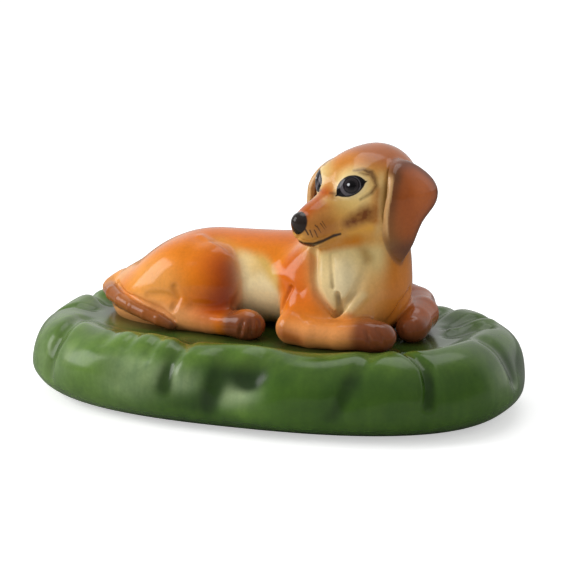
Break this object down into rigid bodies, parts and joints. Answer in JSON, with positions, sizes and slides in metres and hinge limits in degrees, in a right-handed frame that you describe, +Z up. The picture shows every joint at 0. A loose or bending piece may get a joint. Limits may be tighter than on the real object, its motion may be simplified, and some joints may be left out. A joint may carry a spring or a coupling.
{
  "type": "ceramic dog figurine",
  "caption": "Glazed ceramic dachshund lying on an oval gathered cushion, head turned to its right side; hollow cast, free-standing on a flat foot rim.",
  "frame": {"origin": "middle of the foot rim's outline, on the surface that the figurine stands on", "axes": "+X along the cushion's length towards the dog's chest, +Y away from the side that the dog faces, +Z up"},
  "size_m": [0.1201, 0.073, 0.062],
  "materials": {
    "cushion_glaze": "hand-painted green under clear gloss glaze",
    "coat_glaze": "airbrushed orange and cream under clear gloss glaze",
    "ear_glaze": "airbrushed red-brown under clear gloss glaze"
  },
  "bodies": {
    "root": {"cushion": "cushion_glaze", "torso": "coat_glaze", "head": "coat_glaze", "right_foreleg": "coat_glaze", "left_foreleg": "coat_glaze", "right_hind_leg": "coat_glaze", "left_hind_leg": "coat_glaze", "tail": "coat_glaze", "left_ear": "ear_glaze", "right_ear": "ear_glaze"}
  },
  "joints": []
}
